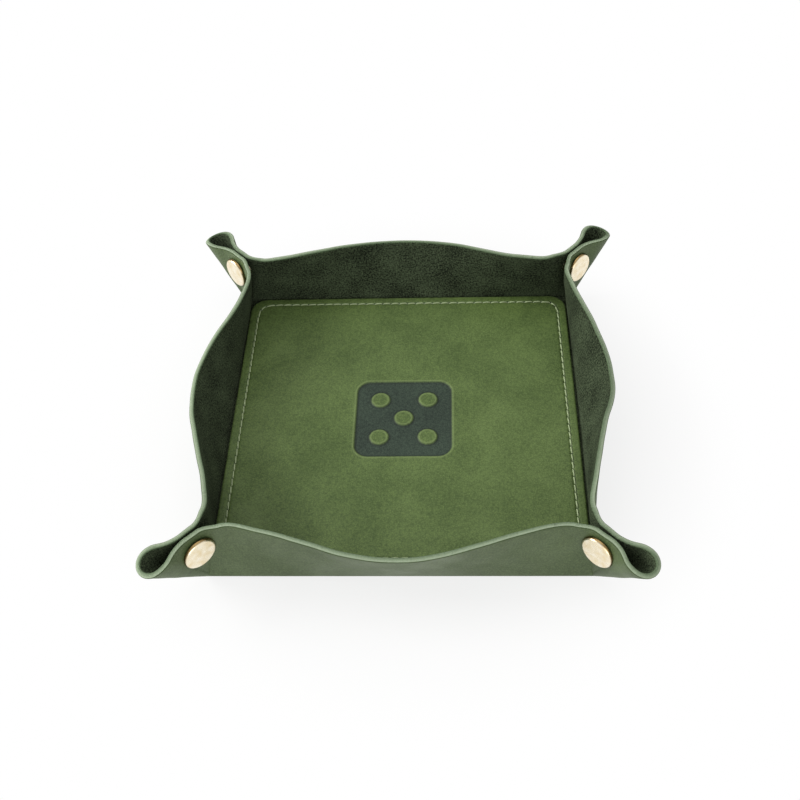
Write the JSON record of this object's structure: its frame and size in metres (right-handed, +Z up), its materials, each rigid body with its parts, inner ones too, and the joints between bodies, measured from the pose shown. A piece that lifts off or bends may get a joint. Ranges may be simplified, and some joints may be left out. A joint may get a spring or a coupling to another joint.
{
  "type": "folding dice tray",
  "caption": "Square leather tray whose pinched corners snap shut, with a stitched floor panel; it unsnaps and lies flat.",
  "frame": {"origin": "underside of the floor, at its middle", "axes": "+X right and +Y back as seen by a person at the tray, +Z up"},
  "size_m": [0.1922, 0.1922, 0.0316],
  "materials": {
    "grain_leather": "waxed pull-up grain, mottled green",
    "suede_leather": "napped flesh side inside, waxed grain outside, pale cut edge",
    "thread": "waxed thread, pale sage",
    "brass": "pale polished brass with fine scratches"
  },
  "bodies": {
    "floor": {"base_sheet": "grain_leather", "floor_panel": "grain_leather", "stitching": "thread"},
    "front_wall": {"front_wall": "suede_leather"},
    "right_wall": {"right_wall": "suede_leather"},
    "back_wall": {"back_wall": "suede_leather"},
    "left_wall": {"left_wall": "suede_leather"},
    "front_wall_right_end": {"front_wall_right_end": "suede_leather"},
    "front_wall_right_flap": {"front_wall_right_flap": "suede_leather", "front_right_cap": "brass", "front_right_socket": "brass"},
    "front_wall_right_loop": {"front_wall_right_loop": "suede_leather"},
    "right_wall_front_end": {"right_wall_front_end": "suede_leather"},
    "right_wall_front_flap": {"right_wall_front_flap": "suede_leather", "front_right_stud": "brass", "front_right_post": "brass"},
    "right_wall_front_loop": {"right_wall_front_loop": "suede_leather"},
    "right_wall_back_end": {"right_wall_back_end": "suede_leather"},
    "right_wall_back_flap": {"right_wall_back_flap": "suede_leather", "back_right_cap": "brass", "back_right_socket": "brass"},
    "right_wall_back_loop": {"right_wall_back_loop": "suede_leather"},
    "back_wall_right_end": {"back_wall_right_end": "suede_leather"},
    "back_wall_right_flap": {"back_wall_right_flap": "suede_leather", "back_right_stud": "brass", "back_right_post": "brass"},
    "back_wall_right_loop": {"back_wall_right_loop": "suede_leather"},
    "back_wall_left_end": {"back_wall_left_end": "suede_leather"},
    "back_wall_left_flap": {"back_wall_left_flap": "suede_leather", "back_left_stud": "brass", "back_left_post": "brass"},
    "back_wall_left_loop": {"back_wall_left_loop": "suede_leather"},
    "left_wall_back_end": {"left_wall_back_end": "suede_leather"},
    "left_wall_back_flap": {"left_wall_back_flap": "suede_leather", "back_left_cap": "brass", "back_left_socket": "brass"},
    "left_wall_back_loop": {"left_wall_back_loop": "suede_leather"},
    "left_wall_front_end": {"left_wall_front_end": "suede_leather"},
    "left_wall_front_flap": {"left_wall_front_flap": "suede_leather", "front_left_stud": "brass", "front_left_post": "brass"},
    "left_wall_front_loop": {"left_wall_front_loop": "suede_leather"},
    "front_wall_left_end": {"front_wall_left_end": "suede_leather"},
    "front_wall_left_flap": {"front_wall_left_flap": "suede_leather", "front_left_cap": "brass", "front_left_socket": "brass"},
    "front_wall_left_loop": {"front_wall_left_loop": "suede_leather"}
  },
  "joints": [
    {"name": "front_wall_fold", "type": "hinge", "parent": "floor", "child": "front_wall", "pos_m": [0, -0.0762, 0.002], "axis": [1, 0, 0], "range_deg": [0, 68]},
    {"name": "right_wall_fold", "type": "hinge", "parent": "floor", "child": "right_wall", "pos_m": [0.0762, 0, 0.002], "axis": [0, 1, 0], "range_deg": [0, 68]},
    {"name": "back_wall_fold", "type": "hinge", "parent": "floor", "child": "back_wall", "pos_m": [0, 0.0762, 0.002], "axis": [-1, 0, 0], "range_deg": [0, 68]},
    {"name": "left_wall_fold", "type": "hinge", "parent": "floor", "child": "left_wall", "pos_m": [-0.0762, 0, 0.002], "axis": [0, -1, 0], "range_deg": [0, 68]},
    {"name": "front_wall_right_end_fold", "type": "hinge", "parent": "front_wall", "child": "front_wall_right_end", "pos_m": [0.0762, -0.0762, 0.002], "axis": [1, 0, 0], "range_deg": [0, 19.8]},
    {"name": "front_wall_right_flap_fold", "type": "hinge", "parent": "front_wall_right_end", "child": "front_wall_right_flap", "pos_m": [0.0762, -0.0762, 0.002], "axis": [-0.3099, 0.1327, 0.9415], "range_deg": [0, 40.97]},
    {"name": "front_wall_right_loop_fold", "type": "hinge", "parent": "front_wall_right_flap", "child": "front_wall_right_loop", "pos_m": [0.0762, -0.0762, 0.002], "axis": [-0.421, 0.51, -0.7501], "range_deg": [0, 74.67]},
    {"name": "right_wall_front_end_fold", "type": "hinge", "parent": "right_wall", "child": "right_wall_front_end", "pos_m": [0.0762, -0.0762, 0.002], "axis": [0, 1, 0], "range_deg": [0, 19.8]},
    {"name": "right_wall_front_flap_fold", "type": "hinge", "parent": "right_wall_front_end", "child": "right_wall_front_flap", "pos_m": [0.0762, -0.0762, 0.002], "axis": [0.1327, -0.3099, -0.9415], "range_deg": [0, 40.97]},
    {"name": "right_wall_front_loop_fold", "type": "hinge", "parent": "right_wall_front_flap", "child": "right_wall_front_loop", "pos_m": [0.0762, -0.0762, 0.002], "axis": [0.51, -0.421, 0.7501], "range_deg": [0, 74.67]},
    {"name": "right_wall_back_end_fold", "type": "hinge", "parent": "right_wall", "child": "right_wall_back_end", "pos_m": [0.0762, 0.0762, 0.002], "axis": [0, 1, 0], "range_deg": [0, 19.8]},
    {"name": "right_wall_back_flap_fold", "type": "hinge", "parent": "right_wall_back_end", "child": "right_wall_back_flap", "pos_m": [0.0762, 0.0762, 0.002], "axis": [-0.1327, -0.3099, 0.9415], "range_deg": [0, 40.97]},
    {"name": "right_wall_back_loop_fold", "type": "hinge", "parent": "right_wall_back_flap", "child": "right_wall_back_loop", "pos_m": [0.0762, 0.0762, 0.002], "axis": [-0.51, -0.421, -0.7501], "range_deg": [0, 74.67]},
    {"name": "back_wall_right_end_fold", "type": "hinge", "parent": "back_wall", "child": "back_wall_right_end", "pos_m": [0.0762, 0.0762, 0.002], "axis": [-1, 0, 0], "range_deg": [0, 19.8]},
    {"name": "back_wall_right_flap_fold", "type": "hinge", "parent": "back_wall_right_end", "child": "back_wall_right_flap", "pos_m": [0.0762, 0.0762, 0.002], "axis": [0.3099, 0.1327, -0.9415], "range_deg": [0, 40.97]},
    {"name": "back_wall_right_loop_fold", "type": "hinge", "parent": "back_wall_right_flap", "child": "back_wall_right_loop", "pos_m": [0.0762, 0.0762, 0.002], "axis": [0.421, 0.51, 0.7501], "range_deg": [0, 74.67]},
    {"name": "back_wall_left_end_fold", "type": "hinge", "parent": "back_wall", "child": "back_wall_left_end", "pos_m": [-0.0762, 0.0762, 0.002], "axis": [-1, 0, 0], "range_deg": [0, 19.8]},
    {"name": "back_wall_left_flap_fold", "type": "hinge", "parent": "back_wall_left_end", "child": "back_wall_left_flap", "pos_m": [-0.0762, 0.0762, 0.002], "axis": [0.3099, -0.1327, 0.9415], "range_deg": [0, 40.97]},
    {"name": "back_wall_left_loop_fold", "type": "hinge", "parent": "back_wall_left_flap", "child": "back_wall_left_loop", "pos_m": [-0.0762, 0.0762, 0.002], "axis": [0.421, -0.51, -0.7501], "range_deg": [0, 74.67]},
    {"name": "left_wall_back_end_fold", "type": "hinge", "parent": "left_wall", "child": "left_wall_back_end", "pos_m": [-0.0762, 0.0762, 0.002], "axis": [0, -1, 0], "range_deg": [0, 19.8]},
    {"name": "left_wall_back_flap_fold", "type": "hinge", "parent": "left_wall_back_end", "child": "left_wall_back_flap", "pos_m": [-0.0762, 0.0762, 0.002], "axis": [-0.1327, 0.3099, -0.9415], "range_deg": [0, 40.97]},
    {"name": "left_wall_back_loop_fold", "type": "hinge", "parent": "left_wall_back_flap", "child": "left_wall_back_loop", "pos_m": [-0.0762, 0.0762, 0.002], "axis": [-0.51, 0.421, 0.7501], "range_deg": [0, 74.67]},
    {"name": "left_wall_front_end_fold", "type": "hinge", "parent": "left_wall", "child": "left_wall_front_end", "pos_m": [-0.0762, -0.0762, 0.002], "axis": [0, -1, 0], "range_deg": [0, 19.8]},
    {"name": "left_wall_front_flap_fold", "type": "hinge", "parent": "left_wall_front_end", "child": "left_wall_front_flap", "pos_m": [-0.0762, -0.0762, 0.002], "axis": [0.1327, 0.3099, 0.9415], "range_deg": [0, 40.97]},
    {"name": "left_wall_front_loop_fold", "type": "hinge", "parent": "left_wall_front_flap", "child": "left_wall_front_loop", "pos_m": [-0.0762, -0.0762, 0.002], "axis": [0.51, 0.421, -0.7501], "range_deg": [0, 74.67]},
    {"name": "front_wall_left_end_fold", "type": "hinge", "parent": "front_wall", "child": "front_wall_left_end", "pos_m": [-0.0762, -0.0762, 0.002], "axis": [1, 0, 0], "range_deg": [0, 19.8]},
    {"name": "front_wall_left_flap_fold", "type": "hinge", "parent": "front_wall_left_end", "child": "front_wall_left_flap", "pos_m": [-0.0762, -0.0762, 0.002], "axis": [-0.3099, -0.1327, -0.9415], "range_deg": [0, 40.97]},
    {"name": "front_wall_left_loop_fold", "type": "hinge", "parent": "front_wall_left_flap", "child": "front_wall_left_loop", "pos_m": [-0.0762, -0.0762, 0.002], "axis": [-0.421, -0.51, 0.7501], "range_deg": [0, 74.67]}
  ],
  "couplings": [
    {"joint": "right_wall_fold", "follows": "front_wall_fold", "ratio": 1},
    {"joint": "back_wall_fold", "follows": "front_wall_fold", "ratio": 1},
    {"joint": "left_wall_fold", "follows": "front_wall_fold", "ratio": 1},
    {"joint": "front_wall_right_end_fold", "follows": "front_wall_fold", "ratio": 0.29118},
    {"joint": "front_wall_right_flap_fold", "follows": "front_wall_fold", "ratio": 0.60246},
    {"joint": "front_wall_right_loop_fold", "follows": "front_wall_fold", "ratio": 1.0981},
    {"joint": "right_wall_front_end_fold", "follows": "front_wall_fold", "ratio": 0.29118},
    {"joint": "right_wall_front_flap_fold", "follows": "front_wall_fold", "ratio": 0.60246},
    {"joint": "right_wall_front_loop_fold", "follows": "front_wall_fold", "ratio": 1.0981},
    {"joint": "right_wall_back_end_fold", "follows": "front_wall_fold", "ratio": 0.29118},
    {"joint": "right_wall_back_flap_fold", "follows": "front_wall_fold", "ratio": 0.60246},
    {"joint": "right_wall_back_loop_fold", "follows": "front_wall_fold", "ratio": 1.0981},
    {"joint": "back_wall_right_end_fold", "follows": "front_wall_fold", "ratio": 0.29118},
    {"joint": "back_wall_right_flap_fold", "follows": "front_wall_fold", "ratio": 0.60246},
    {"joint": "back_wall_right_loop_fold", "follows": "front_wall_fold", "ratio": 1.0981},
    {"joint": "back_wall_left_end_fold", "follows": "front_wall_fold", "ratio": 0.29118},
    {"joint": "back_wall_left_flap_fold", "follows": "front_wall_fold", "ratio": 0.60246},
    {"joint": "back_wall_left_loop_fold", "follows": "front_wall_fold", "ratio": 1.0981},
    {"joint": "left_wall_back_end_fold", "follows": "front_wall_fold", "ratio": 0.29118},
    {"joint": "left_wall_back_flap_fold", "follows": "front_wall_fold", "ratio": 0.60246},
    {"joint": "left_wall_back_loop_fold", "follows": "front_wall_fold", "ratio": 1.0981},
    {"joint": "left_wall_front_end_fold", "follows": "front_wall_fold", "ratio": 0.29118},
    {"joint": "left_wall_front_flap_fold", "follows": "front_wall_fold", "ratio": 0.60246},
    {"joint": "left_wall_front_loop_fold", "follows": "front_wall_fold", "ratio": 1.0981},
    {"joint": "front_wall_left_end_fold", "follows": "front_wall_fold", "ratio": 0.29118},
    {"joint": "front_wall_left_flap_fold", "follows": "front_wall_fold", "ratio": 0.60246},
    {"joint": "front_wall_left_loop_fold", "follows": "front_wall_fold", "ratio": 1.0981}
  ]
}
